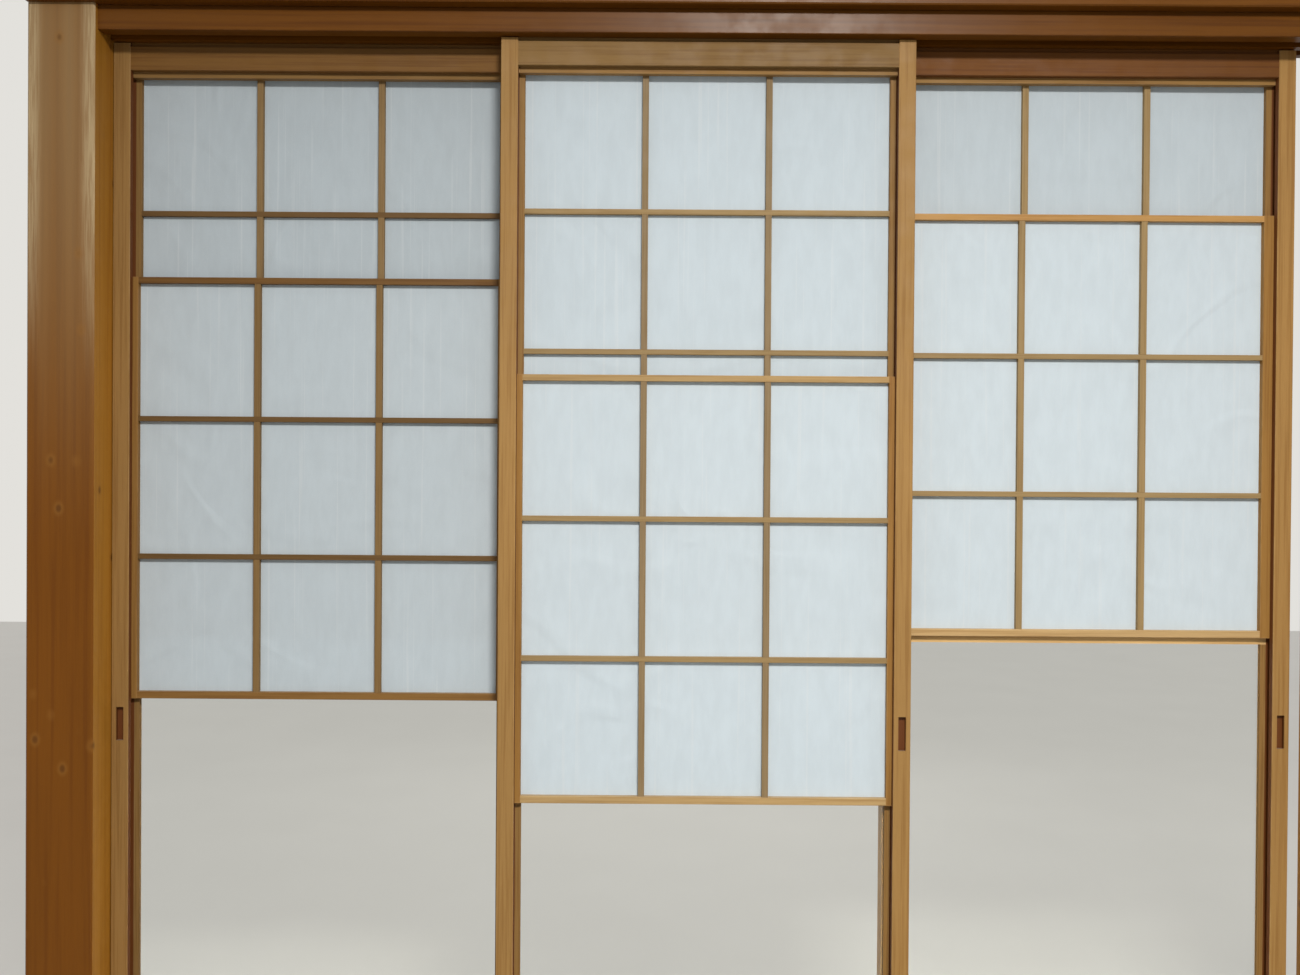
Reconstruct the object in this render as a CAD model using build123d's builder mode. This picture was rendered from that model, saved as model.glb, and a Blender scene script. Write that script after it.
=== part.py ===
"""Snow-viewing shoji panels in a wooden frame.

Three panels stand on two tracks between two posts. Each panel has a papered lattice above, clear
glass below, and a small papered sash that slides up and down in front of both.

Millimetres, +Z up. The room is on the -Y side. The origin is on the floor, midway between the posts
and on the line through their centres. Levels written as a drop are measured down from the underside
of the head.
"""
import os
from build123d import *

os.makedirs("parts", exist_ok=True)

# Lattice, which sets the size of a panel
COLUMNS = 3
FIXED_ROWS = 4
SASH_ROWS = 3
COLUMN_CLEAR = 188.0
ROW_CLEAR = 215.5
UPRIGHT_W = 10.0
CROSS_H = 8.5
BAR_ARRIS = 0.4
BAR_STUB = 3.0
BAR_STUB_T = 3.5
BAR_STUB_SHOULDER = 1.5

# Panel frame
STILE_W = 27.0
PANEL_T = 33.0
RAIL_SETBACK = 1.0
TOP_RAIL_DROP = 7.0
TOP_RAIL_H = 38.0
WAIST_RAIL_H = 23.0
BOTTOM_RAIL_H = 133.5
ARRIS = 0.8
TENON_L = 18.0
TENON_T = 9.0
TENON_SHOULDER = 6.0
THIN_TENON_T = 4.5
THIN_TENON_SHOULDER = 6.5

# Trim and guides round the lattice and the pane
TRIM_W = 9.0
TOP_TRIM_H = 6.0
SASH_STOP_H = 9.0
GUIDE_STRIP_T = 3.0
BACK_MARGIN = 1.5
PAPER_T = 0.4
PAPER_LAP = 5.0
GLASS_T = 3.0
GLASS_GROOVE = 6.0
GLASS_CLEAR = 0.25
GLASS_SIDE_CLEAR = 1.0

# Small sliding sash
SASH_SETBACK = 12.0
SASH_T = 11.0
SASH_STILE_SHOWS = 9.0
SASH_ENGAGES = 8.5
SASH_TOP_H = 10.0
SASH_BOTTOM_H = 11.5
SASH_RAIL_SETBACK = 0.5
SASH_BAR_SETBACK = 1.5
SASH_PAPER_REBATE = 1.0
SASH_TENON_L = 12.0
SASH_TENON_T = 4.0
SASH_TENON_SHOULDER = 2.0
SASH_ARRIS = 0.5
RUN_CLEAR = 0.5
DEEP_RUN = 17.5
SHALLOW_RUN = 9.0

# Leaf springs in the sash's left edge
SPRING_L = 64.0
SPRING_W = 7.0
SPRING_T = 0.5
SPRING_SEAT_DEPTH = 2.0
SPRING_SEAT_CLEAR = 1.0
SPRING_TIP_CLEAR = 0.2
SPRING_INSET = 120.0

# Finger pulls, mortised into both faces of one stile
PULL_W = 12.0
PULL_H = 54.0
PULL_DEPTH = 7.5
PULL_CENTRE_DROP = 1100.0
PULL_CORNER = 1.0

# Tracks, head, sill, posts and trim
GROOVE_W = 21.0
RIB_W = 15.0
FRONT_LIP = 24.0
HEAD_H = 38.0
HEAD_GROOVE = 15.0
SILL_H = 40.0
SILL_GROOVE = 3.0
TRACK_ARRIS = 1.0
TRACK_STUB = 12.0
TRACK_STUB_SHOULDER = 10.0
TONGUE_SIDE_CLEAR = 0.7
TONGUE_UP = 9.0
SHOULDER_GAP = 2.0
RUNNING_CLEAR = 0.2
POST_W = 105.0
POST_D = 105.0
POST_ARRIS = 2.5
TRACK_SETBACK = 10.0
HEAD_TRIM_H = 90.0
HEAD_TRIM_STANDS = 23.0
HEAD_TRIM_ARRIS = 2.0

# How the panels and sashes stand in the room
SIDE_GAP = 1.0
LEFT_LAP = 27.5
RIGHT_LAP = 37.5
SASH_LOWERED = {"left": 111.0, "middle": 267.5, "right": 0.0}
SASH_PUSHED_LEFT = {"left": 0.0, "middle": 0.0, "right": 6.5}
PULL_ON = {"left": "left", "middle": "right", "right": "right"}

# Sizes that follow
LATTICE_W = COLUMNS * COLUMN_CLEAR + (COLUMNS - 1) * UPRIGHT_W
PANEL_W = LATTICE_W + 2 * (STILE_W + TRIM_W)
INNER_LEFT = STILE_W
INNER_RIGHT = PANEL_W - STILE_W
OPENING_W = 3 * PANEL_W - STILE_W
ROW_PITCH = ROW_CLEAR + CROSS_H
SASH_LATTICE_H = SASH_ROWS * ROW_PITCH - CROSS_H
SASH_H = SASH_TOP_H + SASH_LATTICE_H + SASH_BOTTOM_H

TOP_RAIL_BOTTOM_DROP = TOP_RAIL_DROP + TOP_RAIL_H
LATTICE_TOP_DROP = TOP_RAIL_BOTTOM_DROP + TOP_TRIM_H
LATTICE_BOTTOM_DROP = LATTICE_TOP_DROP + FIXED_ROWS * ROW_PITCH - CROSS_H
GLASS_TOP_DROP = LATTICE_BOTTOM_DROP + WAIST_RAIL_H
GLASS_BOTTOM_DROP = LATTICE_BOTTOM_DROP + SASH_H
OPENING_H = GLASS_BOTTOM_DROP + BOTTOM_RAIL_H
HEAD_Z = SILL_H + OPENING_H
POST_H = HEAD_Z + HEAD_H + HEAD_TRIM_H


def level(drop):
    """Height of a point that lies this far below the underside of the head."""
    return HEAD_Z - drop


# Depths in a panel, from its front face
GUIDE_Y = SASH_SETBACK + SASH_T + RUN_CLEAR
RUN_FRONT_Y = SASH_SETBACK - RUN_CLEAR
BAR_BACK_Y = PANEL_T - BACK_MARGIN
BAR_MIDDLE_Y = (GUIDE_Y + BAR_BACK_Y) / 2
RAIL_BACK_Y = PANEL_T - RAIL_SETBACK
TONGUE_T = GROOVE_W - 2 * TONGUE_SIDE_CLEAR
TONGUE_Y = ((PANEL_T - TONGUE_T) / 2, (PANEL_T + TONGUE_T) / 2)
TENON_Y = ((PANEL_T - TENON_T) / 2, (PANEL_T + TENON_T) / 2)
GLASS_Y = (GUIDE_Y + GUIDE_STRIP_T, GUIDE_Y + GUIDE_STRIP_T + GLASS_T)
GLASS_GROOVE_Y = (GLASS_Y[0] - GLASS_CLEAR, GLASS_Y[1] + GLASS_CLEAR)
THIN_TENON_Y = (BAR_MIDDLE_Y - THIN_TENON_T / 2, BAR_MIDDLE_Y + THIN_TENON_T / 2)
BAR_STUB_Y = (BAR_MIDDLE_Y - BAR_STUB_T / 2, BAR_MIDDLE_Y + BAR_STUB_T / 2)
SASH_Y = (SASH_SETBACK, SASH_SETBACK + SASH_T)
SASH_MIDDLE_Y = (SASH_Y[0] + SASH_Y[1]) / 2
SASH_BAR_Y = (SASH_Y[0] + SASH_BAR_SETBACK, SASH_Y[1] - SASH_PAPER_REBATE)
SASH_BAR_MIDDLE_Y = (SASH_BAR_Y[0] + SASH_BAR_Y[1]) / 2
SASH_TENON_Y = (SASH_MIDDLE_Y - SASH_TENON_T / 2, SASH_MIDDLE_Y + SASH_TENON_T / 2)
SASH_STUB_Y = (SASH_BAR_MIDDLE_Y - BAR_STUB_T / 2, SASH_BAR_MIDDLE_Y + BAR_STUB_T / 2)

# Heights in a panel
TONGUE_TOP_Z = HEAD_Z + TONGUE_UP
TOP_SHOULDER_Z = HEAD_Z - SHOULDER_GAP
BOTTOM_SHOULDER_Z = SILL_H + SHOULDER_GAP
FOOT_Z = SILL_H - SILL_GROOVE + RUNNING_CLEAR
RUN_TOP_Z = level(TOP_RAIL_BOTTOM_DROP)
RUN_BOTTOM_Z = level(GLASS_BOTTOM_DROP)
TOP_TENON_Z = (RUN_TOP_Z + TENON_SHOULDER, RUN_TOP_Z + TOP_RAIL_H - TENON_SHOULDER)
WAIST_RAIL_Z = (level(GLASS_TOP_DROP), level(LATTICE_BOTTOM_DROP))
WAIST_TENON_Z = (WAIST_RAIL_Z[0] + THIN_TENON_SHOULDER, WAIST_RAIL_Z[1] - THIN_TENON_SHOULDER)
BOTTOM_TENON_H = (RUN_BOTTOM_Z - BOTTOM_SHOULDER_Z - 3 * TENON_SHOULDER) / 2
BOTTOM_TENONS_Z = [
    (BOTTOM_SHOULDER_Z + TENON_SHOULDER, BOTTOM_SHOULDER_Z + TENON_SHOULDER + BOTTOM_TENON_H),
    (RUN_BOTTOM_Z - TENON_SHOULDER - BOTTOM_TENON_H, RUN_BOTTOM_Z - TENON_SHOULDER),
]

# Places of the lattice bars: (low, high) across and up
LATTICE_LEFT = STILE_W + TRIM_W
COLUMN_PITCH = COLUMN_CLEAR + UPRIGHT_W
UPRIGHTS_X = [
    (LATTICE_LEFT + n * COLUMN_PITCH - UPRIGHT_W, LATTICE_LEFT + n * COLUMN_PITCH)
    for n in range(1, COLUMNS)
]
CROSSES_Z = [
    (level(LATTICE_TOP_DROP + n * ROW_PITCH), level(LATTICE_TOP_DROP + n * ROW_PITCH - CROSS_H))
    for n in range(1, FIXED_ROWS)
]

# The sash when raised: its lattice ends level with the fixed lattice
SASH_LATTICE_Z = (WAIST_RAIL_Z[1], WAIST_RAIL_Z[1] + SASH_LATTICE_H)
SASH_Z = (SASH_LATTICE_Z[0] - SASH_BOTTOM_H, SASH_LATTICE_Z[1] + SASH_TOP_H)
SASH_LEFT = INNER_LEFT - SASH_ENGAGES
SASH_RIGHT = INNER_RIGHT + SASH_ENGAGES
SASH_STILE_W = SASH_STILE_SHOWS + SASH_ENGAGES
SASH_CLEAR_X = (SASH_LEFT + SASH_STILE_W, SASH_RIGHT - SASH_STILE_W)
SASH_CROSSES_Z = [
    (SASH_LATTICE_Z[0] + n * ROW_PITCH - CROSS_H, SASH_LATTICE_Z[0] + n * ROW_PITCH)
    for n in range(1, SASH_ROWS)
]
SASH_RAILS_Z = [(SASH_Z[0], SASH_LATTICE_Z[0]), (SASH_LATTICE_Z[1], SASH_Z[1])]
SPRINGS_Z = [SASH_Z[0] + SPRING_INSET, SASH_Z[1] - SPRING_INSET]

# Places in the frame
HEAD_FRONT_Y = -POST_D / 2 + TRACK_SETBACK
HEAD_DEPTH = POST_D - TRACK_SETBACK
GROOVES_Y = [HEAD_FRONT_Y + FRONT_LIP, HEAD_FRONT_Y + FRONT_LIP + GROOVE_W + RIB_W]
TRACK_STUB_Y = (HEAD_FRONT_Y + TRACK_STUB_SHOULDER, HEAD_FRONT_Y + HEAD_DEPTH - TRACK_STUB_SHOULDER)
HEAD_STUB_Z = (HEAD_Z + HEAD_GROOVE, HEAD_Z + HEAD_H - TRACK_STUB_SHOULDER)
SILL_STUB_Z = (TRACK_STUB_SHOULDER, SILL_H - TRACK_STUB_SHOULDER)


def bar(x, y, z, mode=Mode.ADD):
    """A straight-sided length of wood, or a mortise, between (low, high) limits along each axis."""
    with Locations((x[0], y[0], z[0])):
        Box(x[1] - x[0], y[1] - y[0], z[1] - z[0], align=(Align.MIN, Align.MIN, Align.MIN), mode=mode)


def section(y, z, mode=Mode.ADD):
    """A rectangle in a cross-section, between (low, high) limits in depth and height."""
    with Locations((y[0], z[0])):
        Rectangle(y[1] - y[0], z[1] - z[0], align=(Align.MIN, Align.MIN), mode=mode)


def stub_of(limits):
    """The width left in a bar's stub tenon by its two shoulders."""
    return (limits[0] + BAR_STUB_SHOULDER, limits[1] - BAR_STUB_SHOULDER)


def stile(has_pull, run_depth):
    """Left stile: tongues at both ends, the sash's run, mortises, and finger pulls on one of the pair.

    The left stile's run is cut deep, so that the sash can be pushed into it and its other edge freed.
    """
    with BuildPart() as piece:
        with BuildSketch(Plane.XY.offset(FOOT_Z)):
            Rectangle(STILE_W, PANEL_T, align=(Align.MIN, Align.MIN))
        extrude(amount=TONGUE_TOP_Z - FOOT_Z)
        chamfer(piece.edges().filter_by(Axis.Z), length=ARRIS)
        # Shoulders that leave a tongue in the thickness
        for z in ((TOP_SHOULDER_Z, TONGUE_TOP_Z), (FOOT_Z, BOTTOM_SHOULDER_Z)):
            bar((0, STILE_W), (0, TONGUE_Y[0]), z, Mode.SUBTRACT)
            bar((0, STILE_W), (TONGUE_Y[1], PANEL_T), z, Mode.SUBTRACT)
        # Run of the small sash
        with BuildSketch(Plane.XY.offset(RUN_BOTTOM_Z)):
            with Locations((STILE_W, RUN_FRONT_Y)):
                Rectangle(run_depth, GUIDE_Y - RUN_FRONT_Y, align=(Align.MAX, Align.MIN))
        extrude(amount=RUN_TOP_Z - RUN_BOTTOM_Z, mode=Mode.SUBTRACT)
        # Mortises of the rails
        tenon_x = (STILE_W - TENON_L, STILE_W)
        for z in [TOP_TENON_Z] + BOTTOM_TENONS_Z:
            bar(tenon_x, TENON_Y, z, Mode.SUBTRACT)
        bar(tenon_x, THIN_TENON_Y, WAIST_TENON_Z, Mode.SUBTRACT)
        if has_pull:
            for depth in (0, PANEL_T - PULL_DEPTH):
                with BuildSketch(Plane.XZ.offset(-depth)):
                    with Locations((STILE_W / 2, level(PULL_CENTRE_DROP))):
                        RectangleRounded(PULL_W, PULL_H, PULL_CORNER)
                extrude(amount=-PULL_DEPTH, mode=Mode.SUBTRACT)
    return piece.part


def right_hand(left):
    """The same piece for the other side of the panel."""
    with BuildPart() as piece:
        add(left)
        mirror(about=Plane.YZ.offset(PANEL_W / 2), mode=Mode.REPLACE)
    return piece.part


def top_rail():
    """Rail over the lattice, rebated to the tongue that runs in the head."""
    with BuildPart() as piece:
        with BuildSketch(Plane.YZ.offset(INNER_LEFT)):
            section((RAIL_SETBACK, RAIL_BACK_Y), (RUN_TOP_Z, RUN_TOP_Z + TOP_RAIL_H))
            section(TONGUE_Y, (RUN_TOP_Z, TONGUE_TOP_Z))
        extrude(amount=INNER_RIGHT - INNER_LEFT)
        chamfer(piece.edges().filter_by(Axis.X).group_by(Axis.Y)[0], length=ARRIS)
        bar((INNER_LEFT - TENON_L, INNER_RIGHT + TENON_L), TENON_Y, TOP_TENON_Z)
    return piece.part


def waist_rail():
    """Thin rail behind the sash: grooved below for the pane, rebated above for the paper."""
    with BuildPart() as piece:
        with BuildSketch(Plane.YZ.offset(INNER_LEFT)):
            section((GUIDE_Y, RAIL_BACK_Y), WAIST_RAIL_Z)
            section(GLASS_GROOVE_Y, (WAIST_RAIL_Z[0], WAIST_RAIL_Z[0] + GLASS_GROOVE), Mode.SUBTRACT)
            section((BAR_BACK_Y, RAIL_BACK_Y), (WAIST_RAIL_Z[1] - PAPER_LAP, WAIST_RAIL_Z[1]), Mode.SUBTRACT)
        extrude(amount=INNER_RIGHT - INNER_LEFT)
        bar((INNER_LEFT - TENON_L, INNER_RIGHT + TENON_L), THIN_TENON_Y, WAIST_TENON_Z)
        for x in UPRIGHTS_X:
            bar(stub_of(x), BAR_STUB_Y, (WAIST_RAIL_Z[1] - BAR_STUB, WAIST_RAIL_Z[1]), Mode.SUBTRACT)
    return piece.part


def bottom_rail():
    """Deep rail under the pane, with twin tenons and the tongue that stands in the sill."""
    with BuildPart() as piece:
        with BuildSketch(Plane.YZ.offset(INNER_LEFT)):
            section((RAIL_SETBACK, RAIL_BACK_Y), (BOTTOM_SHOULDER_Z, RUN_BOTTOM_Z))
            section(TONGUE_Y, (FOOT_Z, BOTTOM_SHOULDER_Z))
            section(GLASS_GROOVE_Y, (RUN_BOTTOM_Z - GLASS_GROOVE, RUN_BOTTOM_Z), Mode.SUBTRACT)
        extrude(amount=INNER_RIGHT - INNER_LEFT)
        chamfer(piece.edges().filter_by(Axis.X).group_by(Axis.Y)[0], length=ARRIS)
        for z in BOTTOM_TENONS_Z:
            bar((INNER_LEFT - TENON_L, INNER_RIGHT + TENON_L), TENON_Y, z)
    return piece.part


def lattice_trim():
    """Upper strip that stops the sash, and two side strips under it that hold the cross bars."""
    top_z = (level(LATTICE_TOP_DROP), RUN_TOP_Z)
    with BuildPart() as top_strip:
        with BuildSketch(Plane.YZ.offset(INNER_LEFT)):
            section((GUIDE_Y, BAR_BACK_Y), top_z)
            section((SASH_SETBACK, GUIDE_Y), (RUN_TOP_Z - SASH_STOP_H, RUN_TOP_Z))
        extrude(amount=INNER_RIGHT - INNER_LEFT)
        for x in UPRIGHTS_X:
            bar(stub_of(x), BAR_STUB_Y, (top_z[0], top_z[0] + BAR_STUB), Mode.SUBTRACT)
    with BuildPart() as side_strips:
        for x, mouth in (
            ((INNER_LEFT, INNER_LEFT + TRIM_W), INNER_LEFT + TRIM_W - BAR_STUB),
            ((INNER_RIGHT - TRIM_W, INNER_RIGHT), INNER_RIGHT - TRIM_W),
        ):
            bar(x, (GUIDE_Y, BAR_BACK_Y), (WAIST_RAIL_Z[1], top_z[0]))
            for z in CROSSES_Z:
                bar((mouth, mouth + BAR_STUB), BAR_STUB_Y, stub_of(z), Mode.SUBTRACT)
    return Compound(top_strip.part.solids() + side_strips.part.solids())


def uprights(xs, y, z, crosses, stub_y):
    """Upright bars with stub tenons, notched in front where the cross bars pass."""
    middle = (y[0] + y[1]) / 2
    with BuildPart() as piece:
        for x in xs:
            bar(x, y, z)
        chamfer(piece.edges().filter_by(Axis.Z).group_by(Axis.Y)[0], length=BAR_ARRIS)
        for x in xs:
            for cross in crosses:
                bar(x, (y[0], middle), cross, Mode.SUBTRACT)
            bar(stub_of(x), stub_y, (z[0] - BAR_STUB, z[0]))
            bar(stub_of(x), stub_y, (z[1], z[1] + BAR_STUB))
    return piece.part


def crosses(zs, y, x, upright_xs, stub_y):
    """Cross bars with stub tenons, notched behind where the uprights pass."""
    middle = (y[0] + y[1]) / 2
    with BuildPart() as piece:
        for z in zs:
            bar(x, y, z)
        chamfer(piece.edges().filter_by(Axis.X).group_by(Axis.Y)[0], length=BAR_ARRIS)
        for z in zs:
            for upright in upright_xs:
                bar(upright, (middle, y[1]), z, Mode.SUBTRACT)
            bar((x[0] - BAR_STUB, x[0]), stub_y, stub_of(z))
            bar((x[1], x[1] + BAR_STUB), stub_y, stub_of(z))
    return piece.part


def paper(x, y, z):
    """One sheet of paper, glued behind the bars and lapped on the wood round them."""
    with BuildPart() as piece:
        bar((x[0] - PAPER_LAP, x[1] + PAPER_LAP), (y, y + PAPER_T), (z[0] - PAPER_LAP, z[1] + PAPER_LAP))
    return piece.part


def glass():
    """Pane that stands in the bottom rail's groove and reaches into the waist rail's."""
    with BuildPart() as piece:
        x = (INNER_LEFT + GLASS_SIDE_CLEAR, INNER_RIGHT - GLASS_SIDE_CLEAR)
        bar(x, GLASS_Y, (RUN_BOTTOM_Z - GLASS_GROOVE, WAIST_RAIL_Z[0] + GLASS_GROOVE - GLASS_SIDE_CLEAR))
    return piece.part


def glass_beads():
    """Guide strips before the pane, which the sash runs on, and beads behind it."""
    with BuildPart() as piece:
        for x in ((INNER_LEFT, LATTICE_LEFT), (INNER_RIGHT - TRIM_W, INNER_RIGHT)):
            for y in ((GUIDE_Y, GLASS_Y[0]), (GLASS_Y[1], RAIL_BACK_Y)):
                bar(x, y, (RUN_BOTTOM_Z, WAIST_RAIL_Z[0]))
    return piece.part


def sash_stile():
    """Left stile of the small sash: mortised, and rebated behind for the paper."""
    with BuildPart() as piece:
        x = (SASH_LEFT, SASH_LEFT + SASH_STILE_W)
        bar(x, SASH_Y, SASH_Z)
        chamfer(piece.edges().filter_by(Axis.Z).group_by(Axis.Y)[0], length=SASH_ARRIS)
        rebate_z = (SASH_LATTICE_Z[0] - PAPER_LAP, SASH_LATTICE_Z[1] + PAPER_LAP)
        bar((x[1] - PAPER_LAP, x[1]), (SASH_BAR_Y[1], SASH_Y[1]), rebate_z, Mode.SUBTRACT)
        for z in SASH_RAILS_Z:
            tenon_z = (z[0] + SASH_TENON_SHOULDER, z[1] - SASH_TENON_SHOULDER)
            bar((x[1] - SASH_TENON_L, x[1]), SASH_TENON_Y, tenon_z, Mode.SUBTRACT)
        for z in SASH_CROSSES_Z:
            bar((x[1] - BAR_STUB, x[1]), SASH_STUB_Y, stub_of(z), Mode.SUBTRACT)
    return piece.part


def sprung_sash_stile():
    """The left stile with seats cut in its edge for the leaf springs."""
    half = SPRING_L / 2 + SPRING_SEAT_CLEAR
    side = SPRING_W / 2 + SPRING_SEAT_CLEAR
    seat_x = (SASH_LEFT, SASH_LEFT + SPRING_SEAT_DEPTH)
    seat_y = (SASH_MIDDLE_Y - side, SASH_MIDDLE_Y + side)
    with BuildPart() as piece:
        add(sash_stile())
        for z in SPRINGS_Z:
            bar(seat_x, seat_y, (z - half, z + half), Mode.SUBTRACT)
    return piece.part


def sash_springs(pushed_left):
    """Bowed leaves that press on the bottom of the deep run and hold the sash where it is put."""
    seat_x = SASH_LEFT + SPRING_SEAT_DEPTH
    crown_x = INNER_LEFT - DEEP_RUN + pushed_left + SPRING_TIP_CLEAR
    half = SPRING_L / 2
    with BuildPart() as piece:
        for z in SPRINGS_Z:
            with BuildSketch(Plane.XZ.offset(-(SASH_MIDDLE_Y - SPRING_W / 2))):
                with BuildLine():
                    ThreePointArc((seat_x, z - half), (crown_x + SPRING_T, z), (seat_x, z + half))
                    Line((seat_x, z + half), (seat_x - SPRING_T, z + half))
                    ThreePointArc((seat_x - SPRING_T, z + half), (crown_x, z), (seat_x - SPRING_T, z - half))
                    Line((seat_x - SPRING_T, z - half), (seat_x, z - half))
                make_face()
            extrude(amount=-SPRING_W)
    return piece.part


def sash_rail(z, lap_z, stub_z):
    """Rail of the small sash, rebated behind for the paper, with a tenon at each end."""
    with BuildPart() as piece:
        bar(SASH_CLEAR_X, (SASH_Y[0] + SASH_RAIL_SETBACK, SASH_Y[1]), z)
        chamfer(piece.edges().filter_by(Axis.X).group_by(Axis.Y)[0], length=SASH_ARRIS)
        bar(SASH_CLEAR_X, (SASH_BAR_Y[1], SASH_Y[1]), lap_z, Mode.SUBTRACT)
        tenon_x = (SASH_CLEAR_X[0] - SASH_TENON_L, SASH_CLEAR_X[1] + SASH_TENON_L)
        bar(tenon_x, SASH_TENON_Y, (z[0] + SASH_TENON_SHOULDER, z[1] - SASH_TENON_SHOULDER))
        for x in UPRIGHTS_X:
            bar(stub_of(x), SASH_STUB_Y, stub_z, Mode.SUBTRACT)
    return piece.part


def sash_lattice():
    """Uprights and half-lapped cross bars of the small sash."""
    upright_bars = uprights(UPRIGHTS_X, SASH_BAR_Y, SASH_LATTICE_Z, SASH_CROSSES_Z, SASH_STUB_Y)
    cross_bars = crosses(SASH_CROSSES_Z, SASH_BAR_Y, SASH_CLEAR_X, UPRIGHTS_X, SASH_STUB_Y)
    return Compound(upright_bars.solids() + cross_bars.solids())


def panel_pieces(has_left_pull):
    """Every piece that slides sideways with a panel."""
    lattice_x = (LATTICE_LEFT, LATTICE_LEFT + LATTICE_W)
    lattice_z = (WAIST_RAIL_Z[1], level(LATTICE_TOP_DROP))
    bar_y = (GUIDE_Y, BAR_BACK_Y)
    return {
        "stile_left": stile(has_left_pull, DEEP_RUN),
        "stile_right": right_hand(stile(not has_left_pull, SHALLOW_RUN)),
        "top_rail": top_rail(),
        "waist_rail": waist_rail(),
        "bottom_rail": bottom_rail(),
        "lattice_trim": lattice_trim(),
        "lattice_uprights": uprights(UPRIGHTS_X, bar_y, lattice_z, CROSSES_Z, BAR_STUB_Y),
        "lattice_crosses": crosses(CROSSES_Z, bar_y, lattice_x, UPRIGHTS_X, BAR_STUB_Y),
        "paper": paper(lattice_x, BAR_BACK_Y, lattice_z),
        "glass": glass(),
        "glass_beads": glass_beads(),
    }


def sash_pieces(pushed_left):
    """Every piece that slides up and down with a small sash."""
    bottom, top = SASH_RAILS_Z
    return {
        "sash_stile_left": sprung_sash_stile(),
        "sash_stile_right": right_hand(sash_stile()),
        "sash_top_rail": sash_rail(
            top, (top[0], top[0] + PAPER_LAP), (top[0], top[0] + BAR_STUB)
        ),
        "sash_bottom_rail": sash_rail(
            bottom, (bottom[1] - PAPER_LAP, bottom[1]), (bottom[1] - BAR_STUB, bottom[1])
        ),
        "sash_lattice": sash_lattice(),
        "sash_paper": paper(SASH_CLEAR_X, SASH_BAR_Y[1], SASH_LATTICE_Z),
        "sash_springs": sash_springs(pushed_left),
    }


def track(z, height, groove_z, stub_z):
    """Grooved beam between the posts, with a stub tenon at each end."""
    half = OPENING_W / 2
    with BuildPart() as piece:
        with BuildSketch(Plane.YZ.offset(-half)):
            section((HEAD_FRONT_Y, HEAD_FRONT_Y + HEAD_DEPTH), (z, z + height))
            for y in GROOVES_Y:
                section((y, y + GROOVE_W), groove_z, Mode.SUBTRACT)
        extrude(amount=OPENING_W)
        chamfer(piece.edges().filter_by(Axis.X).group_by(Axis.Y)[0], length=TRACK_ARRIS)
        bar((-half - TRACK_STUB, half + TRACK_STUB), TRACK_STUB_Y, stub_z)
    return piece.part


def post():
    """Left post, mortised for the head and the sill."""
    inner = -OPENING_W / 2
    with BuildPart() as piece:
        with BuildSketch(Plane.XY):
            with Locations((inner - POST_W / 2, 0)):
                Rectangle(POST_W, POST_D)
        extrude(amount=POST_H)
        chamfer(piece.edges().filter_by(Axis.Z), length=POST_ARRIS)
        for z in (HEAD_STUB_Z, SILL_STUB_Z):
            bar((inner - TRACK_STUB, inner), TRACK_STUB_Y, z, Mode.SUBTRACT)
    return piece.part


def head_trim():
    """Rail over the head, notched round the front of the posts."""
    outer = OPENING_W / 2 + POST_W
    front = HEAD_FRONT_Y - HEAD_TRIM_STANDS
    bottom = HEAD_Z + HEAD_H
    with BuildPart() as piece:
        with BuildSketch(Plane.YZ.offset(-outer)):
            section((front, HEAD_FRONT_Y), (bottom, POST_H))
        extrude(amount=2 * outer)
        chamfer(piece.edges().filter_by(Axis.X).group_by(Axis.Y)[0], length=HEAD_TRIM_ARRIS)
        for x in ((-outer, POST_W - outer), (outer - POST_W, outer)):
            bar(x, (-POST_D / 2, HEAD_FRONT_Y), (bottom, POST_H), Mode.SUBTRACT)
    return piece.part


def save(shape, name):
    """Label a finished piece and write it."""
    shape.label = name
    export_step(shape, f"parts/{name}.step")
    print(name, len(shape.solids()), round(shape.volume))


# The frame
left_post = post()
with BuildPart() as right_post:
    add(left_post)
    mirror(about=Plane.YZ, mode=Mode.REPLACE)
save(left_post, "post_left")
save(right_post.part, "post_right")
save(track(HEAD_Z, HEAD_H, (HEAD_Z, HEAD_Z + HEAD_GROOVE), HEAD_STUB_Z), "head_track")
save(track(0, SILL_H, (SILL_H - SILL_GROOVE, SILL_H), SILL_STUB_Z), "sill_track")
save(head_trim(), "head_trim")

# The panels: the outer two on the rear track, the middle one on the front track
PANEL_FRONTS_Y = [y + (GROOVE_W - PANEL_T) / 2 for y in GROOVES_Y]
LEFT_X = -OPENING_W / 2 + SIDE_GAP
MIDDLE_X = LEFT_X + PANEL_W - LEFT_LAP
RIGHT_X = MIDDLE_X + PANEL_W - RIGHT_LAP
PLACES = {
    "left": (LEFT_X, PANEL_FRONTS_Y[1], 0),
    "middle": (MIDDLE_X, PANEL_FRONTS_Y[0], 0),
    "right": (RIGHT_X, PANEL_FRONTS_Y[1], 0),
}
for side, (x, y, z) in PLACES.items():
    for piece_name, shape in panel_pieces(PULL_ON[side] == "left").items():
        save(shape.moved(Location((x, y, z))), f"{side}_{piece_name}")
    sash_place = (x - SASH_PUSHED_LEFT[side], y, z - SASH_LOWERED[side])
    for piece_name, shape in sash_pieces(SASH_PUSHED_LEFT[side]).items():
        save(shape.moved(Location(sash_place)), f"{side}_{piece_name}")

print("panel", PANEL_W, "opening", OPENING_W, "by", OPENING_H, "post height", POST_H)
print("panel places", PLACES)
print("raised sash: room above", RUN_TOP_Z - SASH_STOP_H - SASH_Z[1], "below", SASH_Z[0] - RUN_BOTTOM_Z)
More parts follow.
